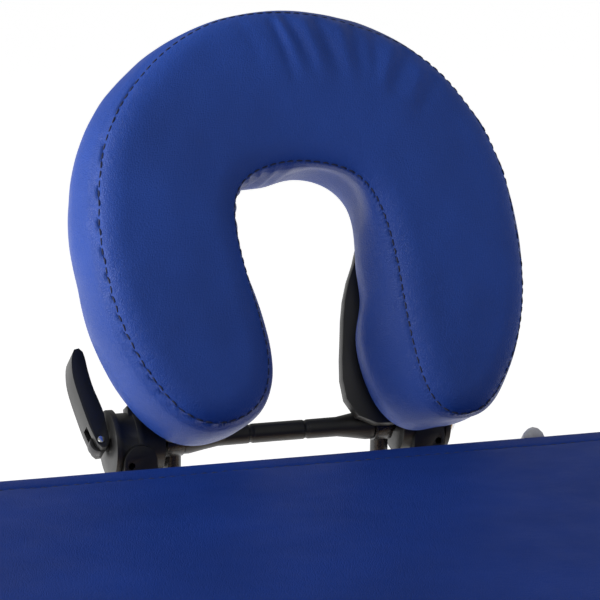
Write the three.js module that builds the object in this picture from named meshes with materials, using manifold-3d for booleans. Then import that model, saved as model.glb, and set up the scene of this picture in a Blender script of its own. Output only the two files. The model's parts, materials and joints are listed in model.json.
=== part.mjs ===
// Portable folding massage table with a tilting horseshoe face cradle.
// Millimetres, +Z up, +Y toward the head end, the table standing open on its feet.
import * as THREE from 'three';
import { mergeVertices } from 'three/addons/utils/BufferGeometryUtils.js';
import Module from 'manifold-3d';

const wasm = await Module();
wasm.setup();

// ---- driving dimensions -------------------------------------------------
const TOP_Z = 620;           // table height at the lowest leg setting
const PAD_T = 50;            // padding above the deck
const PAD_X = 340;           // half width of the padding
const HALF_L = 930;          // length of one half, middle joint to pad end
const JOINT_GAP = 0.6;       // from the middle plane to each pad
const DECK_T = 5.7;          // plywood deck
const FRAME_X = 330;         // half width of the wooden frame
const FRAME_END = 920;       // outer face of the end rails
const RAIL_H = 50;           // rail height
const RAIL_T = 18;           // rail thickness
const MID_Y = 3;             // middle rails start this far from the joint plane
const GAP = 0.3;             // running gap between parts that touch
const DECK_Z0 = TOP_Z - PAD_T - DECK_T;        // underside of the deck
const RAIL_Z1 = DECK_Z0 - GAP;                 // top of the rails
const RAIL_Z0 = RAIL_Z1 - RAIL_H;              // underside of the rails
const FOLD_Z = RAIL_Z0 - GAP;                  // fold axis of the middle hinge
const HINGE_R = 2.4, HINGE_PIN_R = 1.1, HINGE_HOLE_R = 1.3, HINGE_X = 300;

const LEG_Y = 870;           // leg pivot from the middle
const LEG_Z = 534;           // leg pivot height
const SPLAY = 7;             // degrees outward from plumb
const LEG_U = 20;            // half depth of a leg bar, in the swing plane
const LEG_W = 22;            // width of a leg bar, across the table
const UPPER_V = 335;         // upper leg end below the pivot
const LOWER_V0 = 26;         // lower leg start below the pivot
const HEAD_LEG_X = 262.5;    // inner face of the head-end upper legs
const FOOT_LEG_X = 205.5;    // inner face of the foot-end upper legs
const LEG_STEP = 1.8;        // air between upper and lower leg bars
const FOOT_H = 12;           // rubber foot
const KNOB_V = 290;          // clamp knob below the pivot
const SLOT_V0 = 84, SLOT_V1 = 296;             // slot in the lower leg
const STRETCH_V = 150;       // stretcher start below the pivot
const AXLE_R = 4;
const CABLE_IN = 27, CABLE_Z = 552;            // stay cables: inboard of the legs, height at the middle rail

const BAR_Y = HALF_L + 75;   // cradle axis beyond the pad end
const BAR_Z = TOP_Z - 5.5;     // cradle axis height
const TILT = 62;             // face plate angle above level, degrees
const LEVER_LEAN = 38, CAM_X = -123.5;
const PRONG_X = 73;          // support rods either side of the middle
const PRONG_R = 6;
const PRONG_Z = 550;         // height of the rods inside the table
const PRONG_END = 760;       // inner end of the rods
const PRONG_BEND = 24;
const ROD_R = 4;             // tension rod
const LATCH_X = { left: 272, right: 153 };
const LATCH_Y = 934, LATCH_Z = 542;            // latch tongue pivot
const LATCH_LEAN = 1.6;

// ---- helpers --------------------------------------------------------------
const group = new THREE.Group();
const paint = {
  pu_blue: [0x26407f, 0.45, 0], beech: [0xc79a63, 0.5, 0], plywood: [0xcfae7c, 0.6, 0],
  black_steel: [0x101113, 0.3, 0.9], black_plastic: [0x17181a, 0.5, 0], chrome: [0xc8cacc, 0.12, 1],
  steel: [0x9a9da0, 0.35, 1], rubber: [0x1a1a1a, 0.8, 0], webbing: [0x14161c, 0.9, 0],
  hook_tape: [0x0e0f11, 0.95, 0], nylon: [0x1c1d20, 0.45, 0],
};
function add(name, slot, geom) {
  const [c, r, m] = paint[slot];
  const mesh = new THREE.Mesh(geom, new THREE.MeshStandardMaterial({ color: c, roughness: r, metalness: m, name: slot }));
  mesh.name = name;
  group.add(mesh);
}
function toM(g) {
  const c = g.clone();
  c.deleteAttribute('normal');
  c.deleteAttribute('uv');
  const w = mergeVertices(c, 1e-4);
  return new wasm.Manifold(new wasm.Mesh({
    numProp: 3, vertProperties: new Float32Array(w.attributes.position.array),
    triVerts: new Uint32Array(w.index.array),
  }));
}
function fromM(m) {
  const out = m.getMesh();
  const g = new THREE.BufferGeometry();
  g.setAttribute('position', new THREE.BufferAttribute(new Float32Array(out.vertProperties), 3));
  g.setIndex(new THREE.BufferAttribute(new Uint32Array(out.triVerts), 1));
  const flat = g.toNonIndexed();
  flat.computeVertexNormals();
  return flat;
}
const join = (...gs) => fromM(gs.map(toM).reduce((a, b) => a.add(b)));
const cut = (g, ...gs) => fromM(gs.map(toM).reduce((a, b) => a.subtract(b), toM(g)));
function box(x0, x1, y0, y1, z0, z1) {
  const g = new THREE.BoxGeometry(x1 - x0, y1 - y0, z1 - z0);
  g.translate((x0 + x1) / 2, (y0 + y1) / 2, (z0 + z1) / 2);
  return g;
}
// the shape's x,y lie in the named plane; the extrusion runs from a to b along the third axis
function alongX(shape, a, b, o = {}) {
  const g = new THREE.ExtrudeGeometry(shape, { depth: b - a, bevelEnabled: false, curveSegments: 8, ...o });
  g.applyMatrix4(new THREE.Matrix4().makeBasis(
    new THREE.Vector3(0, 1, 0), new THREE.Vector3(0, 0, 1), new THREE.Vector3(1, 0, 0)));
  g.translate(a, 0, 0);
  return g;
}
function alongY(shape, a, b, o = {}) {
  const g = new THREE.ExtrudeGeometry(shape, { depth: b - a, bevelEnabled: false, curveSegments: 8, ...o });
  g.applyMatrix4(new THREE.Matrix4().makeBasis(
    new THREE.Vector3(1, 0, 0), new THREE.Vector3(0, 0, 1), new THREE.Vector3(0, -1, 0)));
  g.translate(0, b, 0);
  return g;
}
function alongZ(shape, a, b, o = {}) {
  const g = new THREE.ExtrudeGeometry(shape, { depth: b - a, bevelEnabled: false, curveSegments: 8, ...o });
  g.translate(0, 0, a);
  return g;
}
const pin = (r, len, seg = 20) => new THREE.CylinderGeometry(r, r, len, seg);
function pinX(r, x0, x1, y, z, seg = 20) {
  const g = pin(r, x1 - x0, seg);
  g.rotateZ(Math.PI / 2);
  g.translate((x0 + x1) / 2, y, z);
  return g;
}
function pinY(r, y0, y1, x, z, seg = 20) {
  const g = pin(r, y1 - y0, seg);
  g.translate(x, (y0 + y1) / 2, z);
  return g;
}
// a turned part about X: profile of [x, r], closed through its bore
function turnedX(profile, seg = 24) {
  const pts = [...profile, profile[0]].reverse().map(([x, r]) => new THREE.Vector2(r, x));
  const g = new THREE.LatheGeometry(pts, seg);
  g.rotateZ(-Math.PI / 2);
  return g;
}
function poly(points) {
  const s = new THREE.Shape();
  points.forEach(([a, b], i) => (i ? s.lineTo(a, b) : s.moveTo(a, b)));
  s.closePath();
  return s;
}
function arc(cx, cy, r, a0, a1, n) {
  return Array.from({ length: n + 1 }, (_, i) => {
    const t = a0 + ((a1 - a0) * i) / n;
    return [cx + r * Math.cos(t), cy + r * Math.sin(t)];
  });
}
const circle = (cx, cy, r, n = 20) => arc(cx, cy, r, 0, 2 * Math.PI, n).slice(0, n);
function smooth(points, n) {
  const c = new THREE.CatmullRomCurve3(points.map(([a, b]) => new THREE.Vector3(a, b, 0)), true, 'centripetal');
  return poly(c.getSpacedPoints(n).slice(0, n).map((p) => [p.x, p.y]));
}
function roundRect(x0, x1, y0, y1, r) {
  const q = Math.PI / 2, n = 5;
  return poly([...arc(x1 - r, y0 + r, r, -q, 0, n), ...arc(x1 - r, y1 - r, r, 0, q, n),
    ...arc(x0 + r, y1 - r, r, q, 2 * q, n), ...arc(x0 + r, y0 + r, r, 2 * q, 3 * q, n)]);
}
function window(shape, points) {
  const p = new THREE.Path();
  points.forEach(([a, b], i) => (i ? p.lineTo(a, b) : p.moveTo(a, b)));
  p.closePath();
  shape.holes.push(p);
  return shape;
}
function hole(shape, cx, cy, r) {
  return window(shape, circle(cx, cy, r, 20).reverse());
}
// round bar swept through points of the YZ plane at a given x
function sweepYZ(points, r, x, seg = 16) {
  const pos = [], idx = [];
  points.forEach((p, i) => {
    const a = points[Math.max(0, i - 1)], b = points[Math.min(points.length - 1, i + 1)];
    const dy = b[0] - a[0], dz = b[1] - a[1], l = Math.hypot(dy, dz);
    const ny = -dz / l, nz = dy / l;
    for (let k = 0; k < seg; k++) {
      const t = (2 * Math.PI * k) / seg;
      pos.push(x + r * Math.cos(t), p[0] + ny * r * Math.sin(t), p[1] + nz * r * Math.sin(t));
    }
  });
  const n = points.length;
  for (let i = 0; i < n - 1; i++) for (let k = 0; k < seg; k++) {
    const a = i * seg + k, b = i * seg + ((k + 1) % seg), c = a + seg, d = b + seg;
    idx.push(a, b, d, a, d, c);
  }
  const s0 = pos.length / 3;
  pos.push(x, points[0][0], points[0][1], x, points[n - 1][0], points[n - 1][1]);
  for (let k = 0; k < seg; k++) {
    const k2 = (k + 1) % seg;
    idx.push(s0, k2, k, s0 + 1, (n - 1) * seg + k, (n - 1) * seg + k2);
  }
  const g = new THREE.BufferGeometry();
  g.setAttribute('position', new THREE.Float32BufferAttribute(pos, 3));
  g.setIndex(idx);
  let v = 0;
  for (let i = 0; i < idx.length; i += 3) {
    const P = (j) => new THREE.Vector3(pos[3 * idx[i + j]], pos[3 * idx[i + j] + 1], pos[3 * idx[i + j] + 2]);
    v += P(0).dot(P(1).cross(P(2)));
  }
  if (v < 0) {
    for (let i = 0; i < idx.length; i += 3) [idx[i + 1], idx[i + 2]] = [idx[i + 2], idx[i + 1]];
    g.setIndex(idx);
  }
  const flat = g.toNonIndexed();
  flat.computeVertexNormals();
  return flat;
}

// ---- the two halves of the table -----------------------------------------
for (const [half, sy] of [['head', 1], ['foot', -1]]) {
  const Y = (a, b) => (sy > 0 ? [a, b] : [-b, -a]);
  const b3 = 10;
  {
    const [y0, y1] = Y(JOINT_GAP, HALF_L);
    const g = alongZ(roundRect(-PAD_X, PAD_X, y0, y1, 22), TOP_Z - PAD_T + GAP + b3, TOP_Z - b3,
      { bevelEnabled: true, bevelThickness: b3, bevelSize: b3, bevelOffset: -b3, bevelSegments: 3, curveSegments: 5 });
    add(`${half}_pad`, 'pu_blue', g);
  }
  add(`${half}_deck`, 'plywood', box(-FRAME_X, FRAME_X, ...Y(MID_Y, FRAME_END), DECK_Z0, DECK_Z0 + DECK_T));
  for (const [side, sx] of [['left', -1], ['right', 1]]) {
    const xs = sx > 0 ? [FRAME_X - RAIL_T, FRAME_X] : [-FRAME_X, -FRAME_X + RAIL_T];
    add(`${half}_side_rail_${side}`, 'beech',
      box(...xs, ...Y(MID_Y + RAIL_T + GAP, FRAME_END - RAIL_T - GAP), RAIL_Z0, RAIL_Z1));
  }
  const end = box(-FRAME_X, FRAME_X, ...Y(FRAME_END - RAIL_T, FRAME_END), RAIL_Z0, RAIL_Z1);
  add(`${half}_end_rail`, 'beech', half === 'foot' ? end : cut(end,
    pinY(9.4, FRAME_END - RAIL_T - 2, FRAME_END + 2, -PRONG_X, PRONG_Z, 24),
    pinY(9.4, FRAME_END - RAIL_T - 2, FRAME_END + 2, PRONG_X, PRONG_Z, 24)));
  add(`${half}_middle_rail`, 'beech', box(-FRAME_X, FRAME_X, ...Y(MID_Y, MID_Y + RAIL_T), RAIL_Z0, RAIL_Z1));
  add(`${half}_leg_axle`, 'steel', pinX(AXLE_R, -(FRAME_X - RAIL_T - 0.5), FRAME_X - RAIL_T - 0.5, sy * LEG_Y, LEG_Z, 16));

  // strap handle on the left side rail
  const hx = -FRAME_X - GAP, hw = 4, out = 36;
  const ends = [['a', 380], ['b', 540]];
  const outer = [[hx, 350], [hx - hw, 350], [hx - hw, 384], [hx - 16, 394], [hx - 30, 412], [hx - out, 436], [hx - out, 484],
    [hx - 30, 508], [hx - 16, 526], [hx - hw, 536], [hx - hw, 570], [hx, 570], [hx, 532], [hx - 12.5, 523], [hx - 26, 506],
    [hx - out + hw, 482], [hx - out + hw, 438], [hx - 26, 414], [hx - 12.5, 397], [hx, 388]];
  add(`${half}_carry_strap`, 'webbing', alongZ(poly(outer.map(([x, y]) => [x, sy * y])), RAIL_Z0 + 8, RAIL_Z0 + 38));
}

// socket block behind the end rail and the two flanged bushes
{
  let g = box(-110, 110, 826, 856, RAIL_Z0, RAIL_Z1);
  g = cut(g, pinY(6.5, 820, 862, -PRONG_X, PRONG_Z, 24), pinY(6.5, 820, 862, PRONG_X, PRONG_Z, 24));
  add('socket_block', 'beech', g);
  for (const [side, sx] of [['left', -1], ['right', 1]]) {
    const ring = new THREE.LatheGeometry([[6.5, 0], [9, 0], [9, 18.3], [13, 18.3], [13, 21.5], [6.5, 21.5], [6.5, 0]]
      .map(([r, h]) => new THREE.Vector2(r, h)), 24);
    ring.translate(sx * PRONG_X, FRAME_END - RAIL_T, PRONG_Z);
    add(`socket_bush_${side}`, 'nylon', ring);
  }
}

// piano hinge across the middle joint
{
  const n = 9, w = (2 * HINGE_X) / n;
  const headKnuckles = [], footKnuckles = [];
  for (let i = 0; i < n; i++) {
    const x0 = -HINGE_X + i * w + 0.3, x1 = -HINGE_X + (i + 1) * w - 0.3;
    (i % 2 ? footKnuckles : headKnuckles).push([x0, x1]);
  }
  const leaf = (sy, own, other) => {
    const y = sy > 0 ? [1.35, 2.3] : [-2.3, -1.35];
    let m = toM(box(-HINGE_X, HINGE_X, ...y, FOLD_Z, FOLD_Z + 31));
    for (const [a, b] of own) m = m.add(toM(pinX(HINGE_R, a, b, 0, FOLD_Z, 16)));
    for (const [a, b] of other) m = m.subtract(toM(box(a - 0.6, b + 0.6, -4, 4, FOLD_Z - 4, FOLD_Z + 3)));
    for (const [a, b] of own) m = m.subtract(toM(pinX(HINGE_HOLE_R, a - 1, b + 1, 0, FOLD_Z, 16)));
    return m;
  };
  add('hinge_leaf_head', 'chrome', fromM(leaf(1, headKnuckles, footKnuckles)));
  add('hinge_leaf_foot', 'chrome', fromM(leaf(-1, footKnuckles, headKnuckles)));
  add('hinge_pin', 'steel', pinX(HINGE_PIN_R, -HINGE_X, HINGE_X, 0, FOLD_Z, 12));
}

// ---- legs -------------------------------------------------------------------
// leg plane: u across the bar, v down the bar from the pivot; folded out of plumb by the splay
function legPlace(g, sy) {
  // built with Y = u, Z = -v about the pivot
  g.rotateX((sy > 0 ? 1 : -1) * (SPLAY * Math.PI) / 180);
  g.translate(0, sy * LEG_Y, LEG_Z);
  return g;
}
const cS = Math.cos((SPLAY * Math.PI) / 180), sS = Math.sin((SPLAY * Math.PI) / 180);
for (const [end, sy, xin] of [['head', 1, HEAD_LEG_X], ['foot', -1, FOOT_LEG_X]]) {
  for (const [side, sx] of [['left', -1], ['right', 1]]) {
    const X = (a, b) => (sx > 0 ? [a, b] : [-b, -a]);
    const up = poly([...arc(0, 0, LEG_U, 0, Math.PI, 14), [-LEG_U, -UPPER_V + 6], [-LEG_U + 6, -UPPER_V],
      [LEG_U - 6, -UPPER_V], [LEG_U, -UPPER_V + 6]]);
    hole(up, 0, 0, AXLE_R + 0.35);
    hole(up, 0, -KNOB_V, 4.4);
    add(`upper_leg_${end}_${side}`, 'beech', legPlace(alongX(up, ...X(xin, xin + LEG_W)), sy));

    const lx = xin + LEG_W + LEG_STEP;
    // the lower end is cut level with the floor
    const vEnd = (u) => (LEG_Z - FOOT_H - GAP + sy * u * sS) / cS;
    const lo = poly([[-LEG_U + 5, -LOWER_V0], [-LEG_U, -LOWER_V0 - 5], [-LEG_U, -vEnd(-LEG_U)],
      [LEG_U, -vEnd(LEG_U)], [LEG_U, -LOWER_V0 - 5], [LEG_U - 5, -LOWER_V0]]);
    window(lo, [...arc(0, -SLOT_V0, 4.5, 0, Math.PI, 8), ...arc(0, -SLOT_V1, 4.5, Math.PI, 2 * Math.PI, 8)].reverse());
    add(`lower_leg_${end}_${side}`, 'beech', legPlace(alongX(lo, ...X(lx, lx + LEG_W)), sy));

    const fy = sy * (LEG_Y + ((LEG_Z - FOOT_H) / cS) * sS);
    const cx = lx + LEG_W / 2;
    add(`rubber_foot_${end}_${side}`, 'rubber',
      alongZ(roundRect(...X(cx - 13.5, cx + 13.5), fy - 24, fy + 24, 6), 0, FOOT_H, { curveSegments: 3 }));

    // star knob whose stud passes through both leg bars
    const star = poly(Array.from({ length: 48 }, (_, i) => {
      const t = (2 * Math.PI * i) / 48, r = 16 + 2.2 * Math.cos(6 * t);
      return [r * Math.cos(t), -KNOB_V + r * Math.sin(t)];
    }));
    const knob = join(alongX(star, ...X(xin - 17, xin - 4)),
      alongX(poly(circle(0, -KNOB_V, 9)), ...X(xin - 5, xin - GAP)),
      pinX(4, ...X(xin - 3, lx + LEG_W + 1.2), 0, -KNOB_V, 16));
    add(`leg_knob_${end}_${side}`, 'black_plastic', legPlace(knob, sy));

    // stay cable from the stretcher to the middle rail
    const cxn = sx * (xin - CABLE_IN);
    const p0 = [sy * (MID_Y + RAIL_T + 2), CABLE_Z];
    const v = STRETCH_V + 18, u = 10.6;
    const p1 = [sy * (LEG_Y + v * sS - u * cS), LEG_Z - v * cS - u * sS];
    add(`stay_cable_${end}_${side}`, 'steel', sweepYZ([p0, p1], 1.2, cxn, 8));
  }
  add(`${end}_stretcher`, 'beech',
    legPlace(box(-xin + GAP, xin - GAP, -9, 9, -STRETCH_V - 36, -STRETCH_V), sy));
}

// ---- latches -------------------------------------------------------------------
for (const [side, sx] of [['left', -1], ['right', 1]]) {
  const cx = sx * LATCH_X[side];
  const y0 = FRAME_END + GAP;
  let base = toM(box(cx - 18, cx + 18, y0, y0 + 2, RAIL_Z0 + 6, RAIL_Z1 - 6));
  for (const e of [-1, 1]) {
    const ear = hole(poly([[y0 + 1, LATCH_Z - 7], [LATCH_Y + 1, LATCH_Z - 5], [LATCH_Y + 4.5, LATCH_Z - 2], [LATCH_Y + 4.5, LATCH_Z + 2],
      [LATCH_Y + 1, LATCH_Z + 5], [y0 + 1, LATCH_Z + 9]]), LATCH_Y, LATCH_Z, 2.3);
    base = base.add(toM(alongX(ear, cx + e * 14 - 1.2, cx + e * 14 + 1.2)));
  }
  add(`latch_base_${side}`, 'chrome', fromM(base));
  const t = poly([[-9, 0], [9, 0], [9, 70], [8.2, 74.5], [6.3, 78.3], [3.4, 81], [0, 82], [-3.4, 81], [-6.3, 78.3], [-8.2, 74.5], [-9, 70]]);
  window(t, [[-5, 50], [-5, 66], [5, 66], [5, 50]]);
  const plate = alongY(t, LATCH_Y - 1.2, LATCH_Y + 1.2, { curveSegments: 4 });
  plate.translate(cx, 0, LATCH_Z);
  const tongue = join(plate, pinX(3.4, cx - 11, cx + 11, LATCH_Y, LATCH_Z, 16),
    pinX(1.8, cx - 15.6, cx + 15.6, LATCH_Y, LATCH_Z, 12));
  // thrown up, it leans on the end of the pad
  tongue.translate(0, -LATCH_Y, -LATCH_Z);
  tongue.rotateX((LATCH_LEAN * Math.PI) / 180);
  tongue.translate(0, LATCH_Y, LATCH_Z);
  add(`latch_tongue_${side}`, 'chrome', tongue);
  // keeper post on the foot end; it comes level with the tongue's window when the table is shut
  const kz = 2 * FOLD_Z - (LATCH_Z - 58);
  add(`latch_keeper_${side}`, 'chrome', join(
    box(cx - 15, cx + 15, -y0 - 2, -y0, kz - 12, kz + 12),
    pinY(3, -LATCH_Y - 6, -y0 - 1, cx, kz, 12)));
}

// ---- face cradle -----------------------------------------------------------------
// support rods, each with an eye on the tension rod
for (const [side, sx] of [['left', -1], ['right', 1]]) {
  const x = sx * PRONG_X, pts = [];
  pts.push([BAR_Y, BAR_Z - 6]);
  const cyy = BAR_Y - PRONG_BEND, cz = PRONG_Z + PRONG_BEND;
  for (let i = 0; i <= 8; i++) {
    const a = (i / 8) * (Math.PI / 2);
    pts.push([cyy + PRONG_BEND * Math.cos(a), cz - PRONG_BEND * Math.sin(a)]);
  }
  pts.push([PRONG_END, PRONG_Z]);
  const eye = pinX(11, x - 6, x + 6, BAR_Y, BAR_Z, 28);
  const neck = sx > 0 ? pinX(6.2, x + 5, x + 9.7, BAR_Y, BAR_Z, 20) : pinX(6.2, x - 9.7, x - 5, BAR_Y, BAR_Z, 20);
  add(`support_rod_${side}`, 'black_steel',
    cut(join(sweepYZ(pts, PRONG_R, x, 18), eye, neck), pinX(4.5, x - 12, x + 12, BAR_Y, BAR_Z, 20)));
}
{
  const g = turnedX([[-66.7, 4.5], [66.7, 4.5], [66.7, 10], [62, 10], [52, 8.2], [42, 6.6], [21, 6.5], [20.4, 5.9], [18.4, 5.9], [17.8, 6.5],
    [-17.8, 6.5], [-18.4, 5.9], [-20.4, 5.9], [-21, 6.5], [-42, 6.6], [-52, 8.2], [-62, 10], [-66.7, 10]], 24);
  g.translate(0, BAR_Y, BAR_Z);
  add('crossbar', 'black_plastic', g);
}
// plate plane: X across, Y up the plate, Z toward the face; tilted about the axis
const tilt = (g) => { g.rotateX((TILT * Math.PI) / 180); g.translate(0, BAR_Y, BAR_Z); return g; };
const at = (g) => { g.translate(0, BAR_Y, BAR_Z); return g; };
{
  const half = [[0, 240], [40, 235], [74, 217], [96, 190], [108, 150], [109, 100], [103, 60], [95, 34], [92, 12], [86, -2], [75, -5], [64, -4], [49.6, 4],
    [44.4, 18], [45.5, 36], [49, 55], [54, 79], [61, 98], [68, 112], [73, 130], [68, 155], [50, 172], [25, 180], [0, 182]];
  const ring = [...half, ...half.slice(1, -1).reverse().map(([a, b]) => [-a, b])];
  let m = toM(tilt(alongZ(smooth(ring, 84), 12, 20)));
  for (const sx of [-1, 1]) {
    const X = (a, b) => (sx > 0 ? [a, b] : [-b, -a]);
    m = m.add(toM(pinX(20, ...X(83.2, 113.5), BAR_Y, BAR_Z, 36)));
    m = m.add(toM(pinX(20.9, ...X(97.5, 101.5), BAR_Y, BAR_Z, 36)));
    m = m.add(toM(pinX(sx < 0 ? 22.6 : 21.5, ...X(113, 116.5), BAR_Y, BAR_Z, 36)));
    // gusset between hub and plate
    m = m.add(toM(tilt(box(...X(84, 104), 0, 22, 2, 13))));
    // small lug on the front of each hub
    const lug = hole(poly([[-11, -28], [11, -28], ...arc(0, -7, 11, 0, Math.PI, 12)]), sx * 6.3, -9, 2.3);
    const lg = alongY(lug, sx < 0 ? -24 : -22, -14, { curveSegments: 7 });
    lg.translate(sx * 101, 0, 0);
    m = m.add(toM(at(lg)));
  }
  m = m.subtract(toM(pinX(4.5, -130, 130, BAR_Y, BAR_Z, 20)));
  add('cradle_plate', 'black_plastic', fromM(m));
}
{
  // the lever and its pin lean back from upright about the bar's axis
  const lean = (g) => { g.rotateX((-LEVER_LEAN * Math.PI) / 180); return at(g); };
  // tension rod with a flat eye at the lever end
  let m = toM(pinX(ROD_R, -120, 121, BAR_Y, BAR_Z, 16));
  m = m.add(toM(lean(pinY(6, -4, 4, CAM_X, 0, 20))));
  m = m.subtract(toM(lean(pinY(2.8, -6, 6, CAM_X, 0, 12))));
  add('tension_rod', 'steel', fromM(m));
  add('cam_pin', 'chrome', lean(pinY(2.4, -10.6, 10.6, CAM_X, 0, 12)));
  const nut = turnedX([[117, 4.5], [125, 4.5], [125, 9], [122, 11.5], [117, 11.5]], 20);
  add('tension_nut', 'chrome', at(nut));
  // lever: two cheeks about the pin, one handle
  const prof = smooth([[-130.3, 65], [-127.6, 65.8], [-125.2, 63.6], [-124.2, 59], [-123.7, 49], [-122.3, 37], [-119.8, 26], [-118.5, 19], [-118.1, 10],
    [-118.1, -2], [-119.6, -4.8], [-122.5, -5.9], [-125.2, -4.3], [-127.2, 1.5], [-129.4, 10], [-131.8, 24], [-133.8, 38], [-134.4, 46], [-133.9, 54], [-132.4, 61]], 44);
  let lv = toM(alongY(prof, -10, 10));
  lv = lv.subtract(toM(box(-140, -110, -4.5, 4.5, -12, 12)));
  lv = lv.subtract(toM(pinY(2.8, -12, 12, CAM_X, 0, 12)));
  add('cam_lever', 'black_plastic', lean(fromM(lv)));
}
{
  // hook tape on the plate
  const half = [[0, 233], [37, 228], [69, 210], [90, 186], [101, 149], [102, 102], [97, 64], [91, 48], [84, 44], [78, 54], [77, 78], [80, 104], [82, 128],
    [75, 158], [52, 180], [25, 188], [0, 190]];
  const ring = [...half, ...half.slice(1, -1).reverse().map(([a, b]) => [-a, b])];
  add('hook_tape', 'hook_tape', tilt(alongZ(smooth(ring, 56), 20.3, 21.5)));
}
{
  // the cushion sits a little to the right on its tape
  const half = [[0, 272.4], [19.9, 271.4], [40.2, 267.5], [59.5, 261], [77.6, 252.3], [94.3, 240.8], [108.8, 226.7], [121.4, 211.1], [131.8, 193.8], [139.9, 175.4],
    [145, 156], [147.8, 136.2], [148.8, 116.3], [148.5, 96.4], [146.8, 76.3], [143.1, 56.5], [136.9, 37.4], [128.3, 19.2], [117.7, 2.3], [103.5, -13], [82.3, -19.5],
    [68.5, -16.5], [58, -9], [51.4, 0.8], [47.1, 12.5], [44.9, 24.7], [44.1, 36.6], [44.2, 48.2], [44.7, 59.6], [45.5, 71.1], [46.4, 82.4], [47.1, 93.7],
    [47.2, 105], [46.8, 116], [45.9, 126.7], [43.7, 136.6], [39.2, 145.1], [31.4, 151.2], [21.4, 154.4], [10.8, 156.5], [0, 157.5]];
  const ring = [...half, ...half.slice(1, -1).reverse().map(([a, b]) => [-a, b])];
  const bt = 14;
  const g = alongZ(smooth(ring, 96), 22 + bt, 84 - bt,
    { bevelEnabled: true, bevelThickness: bt, bevelSize: 10, bevelOffset: -10, bevelSegments: 3 });
  g.translate(21.4, 0, 0);
  add('face_cushion', 'pu_blue', tilt(g));
}

// ---- centre the whole on its footprint ------------------------------------------
{
  const b = new THREE.Box3().setFromObject(group);
  const cx = (b.min.x + b.max.x) / 2, cy = (b.min.y + b.max.y) / 2;
  for (const m of group.children) m.geometry.translate(-cx, -cy, -b.min.z);
}
export default group;
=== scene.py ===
"""Portable massage table with a tilting face cradle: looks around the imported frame."""

import json
import math

import bmesh
import bpy
import numpy as np
from mathutils import Matrix, Vector
from mathutils.bvhtree import BVHTree

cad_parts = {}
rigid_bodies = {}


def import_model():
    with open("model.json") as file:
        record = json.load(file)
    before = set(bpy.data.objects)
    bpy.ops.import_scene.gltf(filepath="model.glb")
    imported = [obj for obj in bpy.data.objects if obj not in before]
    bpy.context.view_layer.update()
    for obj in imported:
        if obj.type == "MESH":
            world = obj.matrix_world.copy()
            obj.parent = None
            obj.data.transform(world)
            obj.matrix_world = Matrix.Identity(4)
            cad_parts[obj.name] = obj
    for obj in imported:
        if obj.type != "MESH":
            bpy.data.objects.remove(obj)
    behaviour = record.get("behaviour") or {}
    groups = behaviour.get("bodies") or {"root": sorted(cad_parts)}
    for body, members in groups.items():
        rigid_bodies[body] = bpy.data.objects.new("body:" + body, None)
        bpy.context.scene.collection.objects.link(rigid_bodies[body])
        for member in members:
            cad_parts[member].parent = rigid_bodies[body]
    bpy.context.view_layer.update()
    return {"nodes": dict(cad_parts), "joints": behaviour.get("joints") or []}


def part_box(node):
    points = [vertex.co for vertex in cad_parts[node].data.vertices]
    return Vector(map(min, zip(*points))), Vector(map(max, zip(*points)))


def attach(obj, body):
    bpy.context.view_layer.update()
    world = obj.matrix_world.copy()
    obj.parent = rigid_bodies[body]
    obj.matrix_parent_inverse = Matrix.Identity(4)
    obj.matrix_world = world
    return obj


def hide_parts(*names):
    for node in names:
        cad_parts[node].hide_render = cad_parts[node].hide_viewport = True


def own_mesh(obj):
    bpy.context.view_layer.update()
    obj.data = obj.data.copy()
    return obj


for o in list(bpy.data.objects):
    bpy.data.objects.remove(o)
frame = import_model()
NODES = frame["nodes"]
SC = bpy.context.scene
MM = 0.001

# ---------------------------------------------------------------- placement
tilt_joint = next(j for j in frame["joints"] if j["name"] == "cradle_tilt")
C = np.array(tilt_joint["pos_m"], float)  # cradle axis, middle of the crossbar
TILT = math.radians(62)
S_DIR = np.array([0, math.cos(TILT), math.sin(TILT)])
T_DIR = np.array([0, -math.sin(TILT), math.cos(TILT)])


def on_plate(a, s, t):
    """Point in the row frame from plate coordinates in metres: across, up the plate, toward the face."""
    return C + np.array([1.0, 0, 0]) * a + S_DIR * s + T_DIR * t


# ---------------------------------------------------------------- camera
YAW, PITCH = math.radians(20), math.radians(12)
DIST, PX = 1.8, 1504.0  # metres to the crossbar; pixels per metre there
R_ = Vector((math.cos(YAW), -math.sin(YAW), 0))
U_ = Vector((math.sin(YAW) * math.sin(PITCH), math.cos(YAW) * math.sin(PITCH), math.cos(PITCH)))
D_ = Vector((math.sin(YAW) * math.cos(PITCH), math.cos(YAW) * math.cos(PITCH), -math.sin(PITCH)))
ROLL = math.radians(0.77)
R_, U_ = R_ * math.cos(ROLL) + U_ * math.sin(ROLL), U_ * math.cos(ROLL) - R_ * math.sin(ROLL)
aim = Vector(C) + R_ * ((300 - 277) / PX) + U_ * ((431.3 - 300) / PX)
cam_data = bpy.data.cameras.new("camera")
cam = bpy.data.objects.new("camera", cam_data)
SC.collection.objects.link(cam)
cam.matrix_world = Matrix((
    (R_.x, U_.x, -D_.x, (aim - D_ * DIST).x),
    (R_.y, U_.y, -D_.y, (aim - D_ * DIST).y),
    (R_.z, U_.z, -D_.z, (aim - D_ * DIST).z),
    (0, 0, 0, 1)))
cam_data.sensor_width = 36
cam_data.lens = 36 * PX * DIST / 600
cam_data.clip_start, cam_data.clip_end = 0.05, 60
SC.camera = cam

# ---------------------------------------------------------------- materials
def new_mat(name):
    m = bpy.data.materials.new(name)
    m.use_nodes = True
    nt = m.node_tree
    b = next(n for n in nt.nodes if n.type == "BSDF_PRINCIPLED")
    return m, nt, b


def node(nt, kind, **kw):
    n = nt.nodes.new(kind)
    for k, v in kw.items():
        if k in n.inputs.keys():
            n.inputs[k].default_value = v
        else:
            setattr(n, k, v)
    return n


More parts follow.
